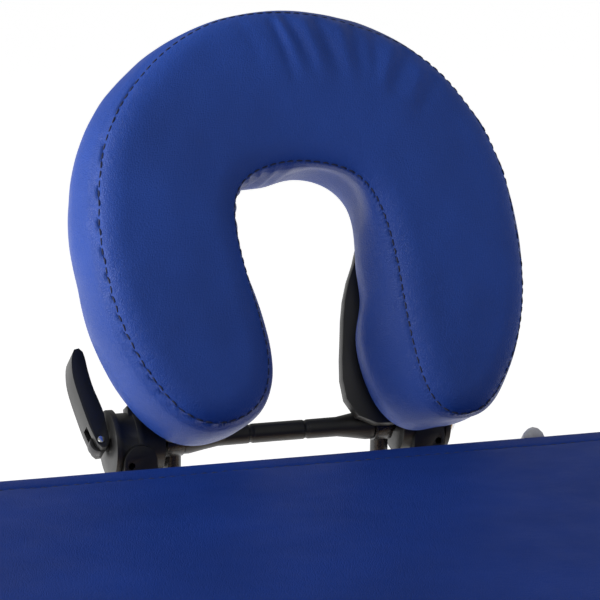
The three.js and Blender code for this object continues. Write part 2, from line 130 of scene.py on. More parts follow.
def coords(nt, scale=(1, 1, 1)):
    tc = node(nt, "ShaderNodeTexCoord")
    mp = node(nt, "ShaderNodeMapping")
    mp.inputs["Scale"].default_value = scale
    nt.links.new(tc.outputs["Object"], mp.inputs["Vector"])
    return mp.outputs["Vector"]


def ramp(nt, fac, stops):
    r = node(nt, "ShaderNodeValToRGB")
    e = r.color_ramp.elements
    while len(e) > len(stops):
        e.remove(e[-1])
    while len(e) < len(stops):
        e.new(1.0)
    for el, (p, c) in zip(e, stops):
        el.position = p
        el.color = (*c, 1) if len(c) == 3 else c
    nt.links.new(fac, r.inputs["Fac"])
    return r.outputs["Color"]


def grey(v):
    return (v, v, v)


def bumped(nt, b, height, strength, distance, prev=None):
    n = node(nt, "ShaderNodeBump", Strength=strength, Distance=distance)
    nt.links.new(height, n.inputs["Height"])
    if prev is not None:
        nt.links.new(prev, n.inputs["Normal"])
    nt.links.new(n.outputs["Normal"], b.inputs["Normal"])
    return n.outputs["Normal"]


def mat_pu(name, base, rough=0.42, spec=0.3):
    """Polyurethane leather: pebbled grain, faint creases, slightly uneven gloss."""
    m, nt, b = new_mat(name)
    v = coords(nt)
    big = node(nt, "ShaderNodeTexNoise", Scale=14.0, Detail=3.0, Roughness=0.5)
    nt.links.new(v, big.inputs["Vector"])
    lo = tuple(c * 0.9 for c in base)
    hi = tuple(min(1, c * 1.1) for c in base)
    nt.links.new(ramp(nt, big.outputs["Fac"], [(0.3, lo), (0.7, hi)]), b.inputs["Base Color"])
    warp = node(nt, "ShaderNodeTexNoise", Scale=260.0, Detail=2.0)
    nt.links.new(v, warp.inputs["Vector"])
    cells = node(nt, "ShaderNodeTexVoronoi", Scale=620.0, feature="DISTANCE_TO_EDGE")
    mix = node(nt, "ShaderNodeVectorMath", operation="MULTIPLY_ADD")
    nt.links.new(warp.outputs["Color"], mix.inputs[0])
    mix.inputs[1].default_value = (0.0022, 0.0022, 0.0022)
    nt.links.new(v, mix.inputs[2])
    nt.links.new(mix.outputs["Vector"], cells.inputs["Vector"])
    edge = ramp(nt, cells.outputs["Distance"], [(0.0, grey(0)), (0.16, grey(0.75)), (0.5, grey(1))])
    crease = node(nt, "ShaderNodeTexNoise", Scale=95.0, Detail=5.0, Roughness=0.62, Distortion=0.6)
    nt.links.new(v, crease.inputs["Vector"])
    n1 = bumped(nt, b, crease.outputs["Fac"], 0.36, 0.0012)
    n2 = bumped(nt, b, edge, 0.62, 0.00028, n1)
    rn = node(nt, "ShaderNodeTexNoise", Scale=40.0, Detail=4.0)
    nt.links.new(v, rn.inputs["Vector"])
    nt.links.new(ramp(nt, rn.outputs["Fac"], [(0.25, grey(rough - 0.05)), (0.75, grey(rough + 0.07))]), b.inputs["Roughness"])
    b.inputs["Specular IOR Level"].default_value = spec
    return m


def mat_plastic(name, base, rough, grain=0.25, scale=900.0):
    m, nt, b = new_mat(name)
    v = coords(nt)
    big = node(nt, "ShaderNodeTexNoise", Scale=30.0, Detail=3.0)
    nt.links.new(v, big.inputs["Vector"])
    nt.links.new(ramp(nt, big.outputs["Fac"], [(0.3, tuple(c * 0.85 for c in base)), (0.7, tuple(c * 1.15 for c in base))]), b.inputs["Base Color"])
    fine = node(nt, "ShaderNodeTexNoise", Scale=scale, Detail=2.0)
    nt.links.new(v, fine.inputs["Vector"])
    bumped(nt, b, fine.outputs["Fac"], grain, 0.0002)
    nt.links.new(ramp(nt, big.outputs["Fac"], [(0.2, grey(rough - 0.06)), (0.8, grey(rough + 0.08))]), b.inputs["Roughness"])
    return m


def mat_metal(name, base, rough, brush=(1, 1, 1), amount=0.1, metallic=1.0):
    m, nt, b = new_mat(name)
    b.inputs["Metallic"].default_value = metallic
    v = coords(nt, brush)
    fine = node(nt, "ShaderNodeTexNoise", Scale=320.0, Detail=4.0, Roughness=0.6)
    nt.links.new(v, fine.inputs["Vector"])
    nt.links.new(ramp(nt, fine.outputs["Fac"], [(0.3, tuple(c * 0.86 for c in base)), (0.7, base)]), b.inputs["Base Color"])
    nt.links.new(ramp(nt, fine.outputs["Fac"], [(0.2, grey(max(0.02, rough - 0.06))), (0.8, grey(rough + 0.1))]), b.inputs["Roughness"])
    bumped(nt, b, fine.outputs["Fac"], amount, 0.00008)
    return m


def mat_wood(name, light, dark, along=1):
    """Steamed beech: straight grain with short dark flecks along one axis, satin lacquer."""
    m, nt, b = new_mat(name)
    sc = [9.0, 9.0, 9.0]
    sc[along] = 0.55
    v = coords(nt, tuple(sc))
    n1 = node(nt, "ShaderNodeTexNoise", Scale=6.0, Detail=5.0, Roughness=0.6, Distortion=0.4)
    nt.links.new(v, n1.inputs["Vector"])
    rings = ramp(nt, n1.outputs["Fac"], [(0.28, dark), (0.46, light), (0.6, tuple((a + c) / 2 for a, c in zip(light, dark))), (0.78, light)])
    fl = [900.0, 900.0, 900.0]
    fl[along] = 95.0
    v2 = coords(nt, tuple(x / 100 for x in fl))
    fleck = node(nt, "ShaderNodeTexNoise", Scale=62.0, Detail=2.0)
    nt.links.new(v2, fleck.inputs["Vector"])
    fr = ramp(nt, fleck.outputs["Fac"], [(0.56, grey(0)), (0.68, grey(0.55))])
    mix = node(nt, "ShaderNodeMix", data_type="RGBA")
    nt.links.new(fr, mix.inputs[0])
    nt.links.new(rings, mix.inputs[6])
    mix.inputs[7].default_value = (*tuple(c * 0.55 for c in dark), 1)
    nt.links.new(mix.outputs[2], b.inputs["Base Color"])
    bumped(nt, b, fleck.outputs["Fac"], 0.12, 0.0002)
    nt.links.new(ramp(nt, n1.outputs["Fac"], [(0.3, grey(0.42)), (0.7, grey(0.55))]), b.inputs["Roughness"])
    b.inputs["Coat Weight"].default_value = 0.25
    b.inputs["Coat Roughness"].default_value = 0.3
    return m


def mat_ply(name):
    """Birch plywood: pale face, thin dark glue lines on the edge."""
    m, nt, b = new_mat(name)
    v = coords(nt, (6.0, 0.8, 6.0))
    n1 = node(nt, "ShaderNodeTexNoise", Scale=5.0, Detail=5.0, Roughness=0.6)
    nt.links.new(v, n1.inputs["Vector"])
    face = ramp(nt, n1.outputs["Fac"], [(0.3, (0.46, 0.29, 0.15)), (0.55, (0.62, 0.44, 0.25)), (0.75, (0.55, 0.37, 0.2))])
    lines = node(nt, "ShaderNodeTexWave", wave_type="BANDS", bands_direction="Z", Scale=165.0, Distortion=0.05)
    nt.links.new(coords(nt), lines.inputs["Vector"])
    lr = ramp(nt, lines.outputs["Fac"], [(0.0, grey(0.55)), (0.3, grey(0.0))])
    geo = node(nt, "ShaderNodeNewGeometry")
    sep = node(nt, "ShaderNodeSeparateXYZ")
    nt.links.new(geo.outputs["True Normal"], sep.inputs["Vector"])
    ab = node(nt, "ShaderNodeMath", operation="ABSOLUTE")
    nt.links.new(sep.outputs["Z"], ab.inputs[0])
    inv = node(nt, "ShaderNodeMath", operation="SUBTRACT")
    inv.inputs[0].default_value = 1.0
    nt.links.new(ab.outputs[0], inv.inputs[1])
    mul = node(nt, "ShaderNodeMath", operation="MULTIPLY")
    nt.links.new(inv.outputs[0], mul.inputs[0])
    nt.links.new(lr, mul.inputs[1])
    mix = node(nt, "ShaderNodeMix", data_type="RGBA")
    nt.links.new(mul.outputs[0], mix.inputs[0])
    nt.links.new(face, mix.inputs[6])
    mix.inputs[7].default_value = (0.16, 0.08, 0.04, 1)
    nt.links.new(mix.outputs[2], b.inputs["Base Color"])
    b.inputs["Roughness"].default_value = 0.6
    bumped(nt, b, n1.outputs["Fac"], 0.1, 0.0003)
    return m


def mat_woven(name, base, warp_dir="X", scale=420.0, rough=0.85):
    m, nt, b = new_mat(name)
    v = coords(nt)
    w1 = node(nt, "ShaderNodeTexWave", wave_type="BANDS", bands_direction=warp_dir, Scale=scale, Distortion=0.3)
    w2 = node(nt, "ShaderNodeTexWave", wave_type="BANDS", bands_direction="Z", Scale=scale * 0.8, Distortion=0.3)
    nt.links.new(v, w1.inputs["Vector"])
    nt.links.new(v, w2.inputs["Vector"])
    mul = node(nt, "ShaderNodeMath", operation="MULTIPLY")
    nt.links.new(w1.outputs["Fac"], mul.inputs[0])
    nt.links.new(w2.outputs["Fac"], mul.inputs[1])
    nt.links.new(ramp(nt, mul.outputs[0], [(0.0, tuple(c * 0.6 for c in base)), (0.8, tuple(c * 1.5 for c in base))]), b.inputs["Base Color"])
    bumped(nt, b, mul.outputs[0], 0.6, 0.0004)
    b.inputs["Roughness"].default_value = rough
    b.inputs["Sheen Weight"].default_value = 0.3
    b.inputs["Sheen Roughness"].default_value = 0.5
    return m


M_CUSH = mat_pu("pu_cushion", (0.0130, 0.0545, 0.300), 0.42, 0.25)
# painted shade: the table pads are the same blue leather as the cushion, but their base colour is about halved to stand
# in for the weaker light on the pad tops
M_PAD_PAINTED_SHADE = mat_pu("pu_pad_painted_shade", (0.0078, 0.031, 0.195), 0.50, 0.06)
M_SATIN = mat_metal("satin_nickel", (0.86, 0.86, 0.85), 0.42, (1, 1, 1), 0.06, 0.35)
M_DARK = mat_metal("blued_steel", (0.05, 0.05, 0.053), 0.38, (1, 1, 1), 0.06, 0.9)
M_THREAD = mat_plastic("thread_navy", (0.005, 0.011, 0.048), 0.7, 0.5, 2500.0)
M_BLACK = mat_plastic("moulded_black", (0.0045, 0.0045, 0.0047), 0.40, 0.22, 700.0)
M_NYLON = mat_plastic("nylon_black", (0.009, 0.009, 0.0095), 0.5, 0.15, 900.0)
M_ROD = mat_metal("enamelled_steel", (0.012, 0.012, 0.013), 0.25, (1, 1, 1), 0.05, 0.0)
M_CHROME = mat_metal("chrome", (0.72, 0.73, 0.74), 0.1)
M_STEEL = mat_metal("steel", (0.5, 0.5, 0.51), 0.32, (1, 6, 6))
M_WOOD_Y = mat_wood("beech_y", (0.60, 0.36, 0.17), (0.47, 0.25, 0.10), 1)
M_WOOD_X = mat_wood("beech_x", (0.60, 0.36, 0.17), (0.47, 0.25, 0.10), 0)
M_WOOD_Z = mat_wood("beech_z", (0.60, 0.36, 0.17), (0.47, 0.25, 0.10), 2)
M_PLY = mat_ply("plywood")
M_RUBBER = mat_plastic("rubber", (0.012, 0.012, 0.012), 0.8, 0.5, 500.0)
M_WEB = mat_woven("webbing", (0.012, 0.013, 0.02), "Y")
M_TAPE = mat_woven("hook_tape", (0.008, 0.008, 0.009), "X", 300.0, 0.95)

# ---------------------------------------------------------------- CAD pieces kept
def finish_of(name):
    if name.startswith(("upper_leg", "lower_leg")):
        return M_WOOD_Z, "beech"
    if name.endswith(("end_rail", "middle_rail", "stretcher")) or name == "socket_block":
        return M_WOOD_X, "beech"
    if "side_rail" in name:
        return M_WOOD_Y, "beech"
    if name.endswith("_deck"):
        return M_PLY, "plywood"
    if name.startswith("latch"):
        return M_SATIN, "chrome"
    if name.startswith(("hinge_leaf", "tension_nut", "cam_pin")):
        return M_CHROME, "chrome"
    if name in ("tension_rod", "thrust_washer"):
        return M_DARK, "steel"
    if name in ("hinge_pin",) or name.endswith("axle") or name.startswith("stay_cable"):
        return M_STEEL, "steel"
    if name.startswith("support_rod"):
        return M_ROD, "black_steel"
    if name.startswith("rubber_foot"):
        return M_RUBBER, "rubber"
    if name.endswith("strap"):
        return M_WEB, "webbing"
    if name == "hook_tape":
        return M_TAPE, "hook_tape"
    if name.startswith("socket_bush"):
        return M_NYLON, "nylon"
    if name.startswith(("crossbar", "cradle_plate", "cam_lever", "leg_knob")):
        return M_BLACK, "black_plastic"
    return M_CUSH, "pu_blue"


def soften(o, width, segments=2, angle=32, smooth=36):
    """Small edge rounds and smooth curved faces on a CAD piece, by modifiers only."""
    me = o.data
    if me.has_custom_normals:
        with bpy.context.temp_override(active_object=o, object=o, selected_objects=[o]):
            bpy.ops.mesh.customdata_custom_splitnormals_clear()
    me.polygons.foreach_set("use_smooth", [True] * len(me.polygons))
    w = o.modifiers.new("joined", "WELD")
    w.merge_threshold = 2e-5
    if width:
        m = o.modifiers.new("rounds", "BEVEL")
        m.width = width
        m.segments = segments
        m.limit_method = "ANGLE"
        m.angle_limit = math.radians(angle)
        m.harden_normals = False
    e = o.modifiers.new("edges", "EDGE_SPLIT")
    e.split_angle = math.radians(smooth)
    e.use_edge_sharp = False


ROUNDS = {
    "beech": (0.0016, 3), "plywood": (0.0008, 2), "black_plastic": (0.0012, 3), "chrome": (0.0004, 2), "steel": (0.0003, 2),
    "black_steel": (0.0008, 2), "rubber": (0.0012, 3), "webbing": (0.0005, 2), "hook_tape": (0.0, 1), "nylon": (0.0008, 2), "pu_blue": (0.0, 1),
}
for name, o in NODES.items():
    mat, kind = finish_of(name)
    o.data.materials.clear()
    o.data.materials.append(mat)
    width, segs = ROUNDS[kind]
    if name == "cam_lever":
        width, segs = 0.0024, 4
    if name == "cradle_plate":
        width, segs = 0.0009, 2
    soften(o, width, segs)

# ---------------------------------------------------------------- mesh helpers
def link(name, verts, faces, mat, body, smooth=True):
    me = bpy.data.meshes.new(name)
    me.from_pydata([tuple(map(float, v)) for v in verts], [], [tuple(map(int, f)) for f in faces])
    bm = bmesh.new()
    bm.from_mesh(me)
    bmesh.ops.remove_doubles(bm, verts=bm.verts, dist=2e-6)
    bmesh.ops.recalc_face_normals(bm, faces=bm.faces)
    bm.to_mesh(me)
    bm.free()
    if smooth:
        me.shade_smooth()
    o = bpy.data.objects.new(name, me)
    SC.collection.objects.link(o)
    me.materials.append(mat)
    if body:
        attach(o, body)
    return o


def resample(p, n, closed=True):
    q = np.vstack([p, p[:1]]) if closed else np.asarray(p)
    L = np.r_[0, np.cumsum(np.linalg.norm(np.diff(q, axis=0), axis=1))]
    t = np.linspace(0, L[-1], n, endpoint=not closed)
    return np.stack([np.interp(t, L, q[:, k]) for k in range(q.shape[1])], 1)


def smooth_loop(p, sigma):
    """Gaussian smoothing of a closed loop; sigma in samples."""
    n = len(p)
    k = np.fft.fftfreq(n) * 2 * np.pi
    g = np.exp(-0.5 * (k * sigma) ** 2)
    return np.stack([np.fft.ifft(np.fft.fft(p[:, i]) * g).real for i in range(p.shape[1])], 1)


def in_normals(p):
    """Inward unit normals of a closed planar loop."""
    d = np.roll(p, -1, 0) - np.roll(p, 1, 0)
    d /= np.linalg.norm(d, axis=1)[:, None]
    nrm = np.stack([-d[:, 1], d[:, 0]], 1)
    area = 0.5 * np.sum(p[:, 0] * np.roll(p[:, 1], -1) - np.roll(p[:, 0], -1) * p[:, 1])
    return nrm if area > 0 else -nrm


def stitch_row(name, pts, up, mat, body, length=0.0034, gap=0.0016, r=0.00038):
    """Thread dashes lying along a polyline; up are the surface normals at its points."""
    verts, faces = [], []
    L = np.r_[0, np.cumsum(np.linalg.norm(np.diff(pts, axis=0), axis=1))]
    pos = 0.0
    seg = 6
    while pos + length < L[-1]:
        ring = []
        for f, rr, lift in ((0.0, 0.35, -0.5), (0.15, 0.9, 0.2), (0.5, 1.0, 0.65), (0.85, 0.9, 0.2), (1.0, 0.35, -0.5)):
            s = pos + f * length
            p = np.array([np.interp(s, L, pts[:, k]) for k in range(3)])
            p2 = np.array([np.interp(s + 1e-4, L, pts[:, k]) for k in range(3)])
            p1 = np.array([np.interp(s - 1e-4, L, pts[:, k]) for k in range(3)])
            n = np.array([np.interp(s, L, up[:, k]) for k in range(3)])
            n /= np.linalg.norm(n)
            d = p2 - p1
            d /= max(1e-12, np.linalg.norm(d))
            w = np.cross(d, n)
            w /= np.linalg.norm(w)
            ring.append((p + n * lift * r, w, n, rr * r))
        base = len(verts)
        for (p, w, n, rr) in ring:
            for k in range(seg):
                a = 2 * math.pi * k / seg
                verts.append(p + w * rr * 1.15 * math.cos(a) + n * rr * math.sin(a))
        for i in range(len(ring) - 1):
            for k in range(seg):
                a, b = base + i * seg + k, base + i * seg + (k + 1) % seg
                faces.append((a, b, b + seg, a + seg))
        faces.append(tuple(base + k for k in range(seg))[::-1])
        faces.append(tuple(base + (len(ring) - 1) * seg + k for k in range(seg)))
        pos += length + gap
    return link(name, verts, faces, mat, body)


# ---------------------------------------------------------------- face cushion
# seam of the front panel and what its side does there; millimetres in the plate's plane
SIDE = [  # across, up, how far the side leans out by its back edge, fullness of the bulge
    (-64.3, -10.6, -2.0, 0.75), (-52.2, -8.8, -2.5, 0.69), (-41.1, -4.0, -2.4, 0.70), (-32.7, 4.3, -1.3, 0.84), (-27.7, 15.3, -0.2, 0.97),
    (-25.4, 27.4, -0.0, 1.00), (-25.3, 39.8, -0.0, 1.00), (-26.5, 52.2, -0.0, 1.00), (-28.1, 64.5, -0.0, 0.99), (-30.0, 76.8, -0.8, 0.90),
    (-32.0, 89.1, -3.6, 0.56), (-33.5, 101.4, -4.9, 0.39), (-34.3, 113.9, -2.9, 0.64), (-34.4, 126.3, -2.1, 0.74), (-32.5, 138.3, -4.9, 0.43),
    (-26.9, 148.7, -7.3, 0.19), (-17.3, 155.7, -5.8, 0.30), (-5.7, 159.6, -3.5, 0.57), (6.5, 161.6, -2.1, 0.74), (18.8, 161.7, -5.4, 0.42),
    (31.1, 159.8, -8.5, 0.15), (43.1, 157.0, -8.8, 0.12), (53.7, 151.8, -7.7, 0.15), (61.4, 142.7, -5.3, 0.36), (66.2, 131.4, -2.4, 0.70),
    (68.9, 119.4, 0.1, 0.94), (70.6, 107.0, 3.0, 1.00), (71.7, 94.6, 5.1, 1.00), (72.2, 82.2, 4.1, 1.00), (72.2, 69.8, 7.0, 1.00),
    (72.4, 57.3, 13.0, 1.00), (72.9, 44.9, 14.8, 1.00), (73.6, 32.4, 14.4, 1.00), (74.9, 20.0, 13.3, 1.00), (77.0, 7.8, 11.6, 1.00),
    (80.9, -3.8, 6.2, 0.93), (88.1, -13.1, -2.2, 0.55), (98.5, -17.2, -6.4, 0.21), (110.2, -15.6, -5.5, 0.32), (120.7, -10.0, -2.9, 0.64),
    (128.9, -1.0, -2.4, 0.70), (135.9, 9.2, -3.0, 0.63), (142.5, 19.8, -2.9, 0.63), (148.0, 30.9, -3.1, 0.61), (152.4, 42.5, -3.3, 0.58),
    (156.0, 54.4, -3.5, 0.56), (158.6, 66.6, -3.0, 0.63), (160.4, 78.9, -2.3, 0.71), (161.2, 91.3, -1.3, 0.83), (161.3, 103.7, 0.0, 0.95),
    (161.1, 116.2, 1.0, 0.98), (160.9, 128.6, -0.3, 0.89), (160.3, 141.0, -1.9, 0.75), (158.1, 153.2, -2.2, 0.72), (155.2, 165.3, -2.0, 0.74),
    (151.4, 177.1, -1.9, 0.76), (146.3, 188.4, -2.3, 0.72), (140.4, 199.4, -2.4, 0.70), (133.8, 209.9, -2.4, 0.70), (126.3, 219.7, -2.1, 0.74),
    (117.7, 228.7, -1.0, 0.86), (108.3, 236.8, 1.1, 0.97), (98.1, 243.9, 3.9, 1.00), (87.1, 249.5, 6.2, 1.00), (75.5, 254.0, 7.2, 1.00),
    (63.8, 258.2, 6.3, 1.00), (52.0, 262.1, 4.6, 1.00), (39.9, 264.8, 1.8, 0.99), (27.6, 266.3, 0.1, 0.98), (15.1, 266.9, -0.5, 0.94),
    (2.7, 266.7, -1.6, 0.80), (-9.7, 265.6, -2.8, 0.65), (-21.9, 263.5, -3.3, 0.59), (-33.7, 259.8, -3.0, 0.63), (-45.0, 254.6, -2.0, 0.74),
    (-55.8, 248.5, -1.0, 0.88), (-66.1, 241.6, -0.3, 0.96), (-75.7, 233.7, 0.3, 0.99), (-84.4, 224.9, 1.4, 1.00), (-92.8, 215.7, 2.1, 1.00),
    (-100.6, 206.0, 2.4, 1.00), (-107.3, 195.6, 2.3, 1.00), (-112.9, 184.5, 2.2, 1.00), (-117.4, 172.9, 2.1, 1.00), (-120.7, 160.9, 2.2, 1.00),
    (-123.0, 148.7, 2.6, 1.00), (-124.8, 136.4, 2.6, 1.00), (-126.1, 124.0, 2.0, 1.00), (-126.4, 111.7, 0.9, 1.00), (-125.7, 99.2, 0.2, 1.00),
    (-124.6, 86.8, 0.4, 1.00), (-123.2, 74.5, 1.0, 1.00), (-120.7, 62.3, 0.9, 1.00), (-117.2, 50.4, 0.8, 1.00), (-112.7, 38.8, 1.0, 1.00),
    (-107.4, 27.6, 0.8, 1.00), (-101.3, 16.8, 0.6, 1.00), (-94.4, 6.4, -0.0, 0.96), (-86.3, -2.8, -1.0, 0.88), (-76.1, -8.9, -1.5, 0.81),
]
SIDE = np.array(SIDE)
SIDE[:, :3] /= 1000
SIDE = resample(SIDE * [1, 1, 1, 0.02], 1200) / [1, 1, 1, 0.02]
SIDE = smooth_loop(SIDE, 7.0)
SEAM = SIDE[:, :2].copy()
MID = 0.0214
T_SEAM, T_BACK = 0.0770, 0.0224
i0 = int(np.argmin(np.where(SEAM[:, 0] < MID, SEAM[:, 1], 9)))
SEAM, SIDE = np.roll(SEAM, -i0, 0), np.roll(SIDE, -i0, 0)
i1 = int(np.argmin(np.where(SEAM[:, 0] > MID, SEAM[:, 1], 9)))
OUTN = -in_normals(SEAM)
OUTN = smooth_loop(OUTN, 5.0)
OUTN /= np.linalg.norm(OUTN, axis=1)[:, None]
both = np.hstack([SEAM, OUTN, np.arange(len(SEAM))[:, None] / len(SEAM), SIDE[:, 2:4]])
MS = 400
inner = both[: i1 + 1]
outer = np.vstack([both[i1:], both[:1]])[::-1].copy()
outer[0, 4], inner[0, 4] = 1.0, 0.0


def along(path, n):
    L = np.r_[0, np.cumsum(np.linalg.norm(np.diff(path[:, :2], axis=0), axis=1))]
    # closer together near the ends, where the legs round off
    u = np.linspace(0, 1, n)
    u = u - 0.10 * np.sin(2 * np.pi * u) / (2 * np.pi) * 1.0
    return np.stack([np.interp(u * L[-1], L, path[:, k]) for k in range(path.shape[1])], 1)


IN, OUTP = along(inner, MS + 1), along(outer, MS + 1)


def hash_noise(x, y, seed=0.0):
    """Smooth pseudo-random field, sums of sines."""
    v = 0.0
    for k, (fx, fy, ph) in enumerate(((1.0, 0.6, 0.3), (-0.7, 1.3, 1.9), (1.9, -1.1, 4.1), (0.4, 2.3, 2.7), (-2.6, -0.5, 5.2))):
        v = v + np.sin(x * fx + y * fy + ph + seed * (k + 1.3)) / (1.0 + 0.35 * k)
    return v / 2.6


# folds of the cover at the crown: (x, y) points along each, depth, half-width; negative depth is a ridge
FOLDS = [
    ([(7.9, 264), (15.3, 231.5), (19.4, 208)], 1.15, 3.4), ([(18.1, 265), (27, 241), (35.5, 214)], 1.35, 3.6),
    ([(40.4, 263), (46.3, 236.5), (52.6, 210)], 1.35, 4.2), ([(67.4, 257), (64.8, 233), (68.5, 206)], 1.3, 5.0),
    ([(81, 252), (77.5, 229), (74.7, 207)], 1.0, 5.0), ([(104, 238), (90, 216.7), (83.5, 196)], 1.3, 5.0),
    ([(121, 217), (108.9, 200.5), (100, 184)], 1.0, 5.5), ([(-14, 263), (-6, 238), (0, 220)], 0.35, 5.0),
    ([(12.9, 264), (21.3, 237.6), (27.0, 212)], -0.7, 3.4), ([(30.4, 263), (37.1, 234.4), (43, 207)], -0.8, 4.2),
    ([(55.1, 260), (58.5, 233.4), (60, 207)], -0.8, 4.8), ([(95.0, 243), (84.1, 219.5), (76, 200)], -0.8, 5.0),
    ([(112.3, 225), (100.9, 206), (92.5, 190)], -0.7, 5.0)]


def fold_height(P):
    h = np.zeros(len(P))
    for pts, depth, width in FOLDS:
        pts = np.array(pts, float) / 1000
        q = np.stack([np.interp(np.linspace(0, 2, 41), [0, 1, 2], pts[:, k]) for k in (0, 1)], 1)
        d = np.linalg.norm(P[:, None, :] - q[None], axis=2)
        k = d.argmin(1)
        f = k / 40.0
        win = np.clip(f / 0.12, 0, 1) * np.clip((1 - f) / 0.55, 0, 1)
        win = win * win * (3 - 2 * win)
        h -= depth * 0.0013 * win * np.exp(-((d.min(1) * 1000 / width) ** 2))
    return h


def true_distance(P):
    """Distance from each point to the seam outline."""
    d = np.full(len(P), 9.0)
    for c in range(0, len(P), 4000):
        q = P[c:c + 4000]
        d[c:c + 4000] = np.sqrt(((q[:, None, :] - SEAM[None, ::2]) ** 2).sum(2)).min(1)
    return d


def front_height(P):
    d = true_distance(P)
    w = 0.0165
    e = np.clip(d / w, 0, 1)
    edge = 0.0082 * np.sqrt(np.clip(1 - (1 - e) ** 2, 0, 1))
    crown = 0.0035 * (1 - np.exp(-d / 0.03))
    groove = -0.0008 * np.exp(-((d / 0.0009) ** 2))
    h = edge + crown + groove + fold_height(P)
    x, y = P[:, 0], P[:, 1]
    near = np.clip(d / 0.004, 0, 1) * np.exp(-d / 0.02)
    h = h + 0.00012 * near * hash_noise(x * 420, y * 420, 1.7) + 0.00035 * hash_noise(x * 95, y * 95, 0.4) * np.clip(d / 0.02, 0, 1)
    return h


def scallop(I, f):
    """Gathered rim of the face hole: waves at its upper left, faint ones elsewhere."""
    x, y = I[:, 0], I[:, 1]
    s = f * len(SEAM)
    arc = f * 1.3
    w = np.exp(-(((x + 0.022) / 0.030) ** 2)) * np.exp(-(((y - 0.150) / 0.035) ** 2))
    return w * np.sin(arc / 0.0125 * 2 * np.pi + 1.1 * np.sin(arc * 90)), w


NF, NB, NK = 52, 26, 14
uf = 0.5 * (1 - np.cos(np.pi * np.linspace(0, 1, NF + 1)))
uf = 0.5 * uf + 0.5 * (uf * uf * (3 - 2 * uf))
verts = []


def push(a, s, t):
    verts.append(np.stack([a, s, t], 1))


# front rows, outer seam to inner seam
rows = []
for u in uf:
    P = OUTP[:, :2] * (1 - u) + IN[:, :2] * u
    rows.append(np.column_stack([P, T_SEAM + front_height(P)]))
wave, ww = scallop(IN[:, :2], IN[:, 4])


def lean(tau):
    g = min(1.0, tau / 0.55)
    return g * g * (3 - 2 * g)


for k in range(1, NB):  # inner side, front to back
    tau = k / NB
    b = 0.0085 * (4 * tau * (1 - tau)) ** 0.62 * IN[:, 6] + IN[:, 5] * lean(tau)
    b = b + 0.0030 * wave * math.sin(math.pi * min(1.0, tau * 1.2)) ** 0.7 * ww ** 0.5
    b = b + 0.0003 * math.sin(math.pi * tau) * hash_noise(IN[:, 4] * 160, np.full(MS + 1, tau * 5), 3.0)
    if tau < 0.06:
        b = b - 0.0006
    P = IN[:, :2] + IN[:, 2:4] * b[:, None]
    rows.append(np.column_stack([P, np.full(MS + 1, T_SEAM - (T_SEAM - T_BACK) * tau)]))
for k in range(NK + 1):  # back, inner to outer
    u = k / NK
    P = (IN[:, :2] + IN[:, 2:4] * IN[:, 5:6]) * (1 - u) + (OUTP[:, :2] + OUTP[:, 2:4] * OUTP[:, 5:6]) * u
    rows.append(np.column_stack([P, np.full(MS + 1, T_BACK)]))
for k in range(NB - 1, 0, -1):  # outer side, back to front
    tau = k / NB
    b = 0.0085 * (4 * tau * (1 - tau)) ** 0.62 * OUTP[:, 6] + OUTP[:, 5] * lean(tau)
    b = b + 0.0003 * math.sin(math.pi * tau) * hash_noise(OUTP[:, 4] * 160, np.full(MS + 1, tau * 5), 3.0)
    if tau < 0.06:
        b = b - 0.0006
    P = OUTP[:, :2] + OUTP[:, 2:4] * b[:, None]
    rows.append(np.column_stack([P, np.full(MS + 1, T_SEAM - (T_SEAM - T_BACK) * tau)]))
rows = np.array(rows)  # ring index, station, (a, s, t)
NR = len(rows)
# the two sides share their end curves at the leg tips
for end in (0, MS):
    for k in range(0, NB + 1):
        avg = 0.5 * (rows[NF + k, end] + rows[(NR - k) % NR, end])
        rows[NF + k, end] = avg
        rows[(NR - k) % NR, end] = avg
V = np.array([on_plate(*p) for p in rows.reshape(-1, 3)])
F = []
W_ = MS + 1
for r in range(NR):
    r2 = (r + 1) % NR
    for i in range(MS):
        F.append((r * W_ + i, r * W_ + i + 1, r2 * W_ + i + 1, r2 * W_ + i))
cushion = link("cushion_cover", V, F, M_CUSH, None)
bm = bmesh.new()
bm.from_mesh(cushion.data)
bmesh.ops.remove_doubles(bm, verts=bm.verts, dist=3e-5)
bmesh.ops.dissolve_degenerate(bm, dist=1e-6, edges=bm.edges)
bmesh.ops.recalc_face_normals(bm, faces=bm.faces)
bm.to_mesh(cushion.data)
bm.free()
cushion.data.shade_smooth()
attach(cushion, "face_cradle")
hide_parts("face_cushion")

# thread in the front seam
tree = BVHTree.FromPolygons([v.co[:] for v in cushion.data.vertices], [p.vertices[:] for p in cushion.data.polygons])
inward = SEAM - OUTN * 0.0007
pts, ups = [], []
for q in resample(inward, 900):
    o3 = Vector(on_plate(q[0], q[1], 0.12))
    hit = tree.ray_cast(o3, Vector(-T_DIR), 0.2)
    if hit[0] is not None:
        pts.append(np.array(hit[0]))
        ups.append(T_DIR)
pts = np.array(pts)
ups = np.array(ups)
stitch_row("cushion_thread", np.vstack([pts, pts[:1]]), np.vstack([ups, ups[:1]]), M_THREAD, "face_cradle", 0.0050, 0.0015, 0.00055)

# ---------------------------------------------------------------- table pads
PROFILE = [  # inward from the edge, height, millimetres
    (4.0, 0.0), (2.2, 0.6), (0.9, 3.0), (0.2, 8.0), (-0.4, 16.0), (-0.5, 26.0), (0.0, 35.0), (0.9, 41.5), (2.4, 45.8), (4.6, 48.4), (7.6, 49.8),
    (12.0, 50.3), (18.0, 50.5), (23.5, 50.4), (26.2, 50.1), (27.3, 49.7), (28.0, 49.5), (28.7, 49.7), (29.8, 50.1), (33.5, 50.5), (40.0, 50.8), (52.0, 51.2),
    (70.0, 51.7), (95.0, 52.2), (125.0, 52.6), (160.0, 52.9), (200.0, 53.1), (245.0, 53.2), (290.0, 53.2), (325.0, 53.2)]


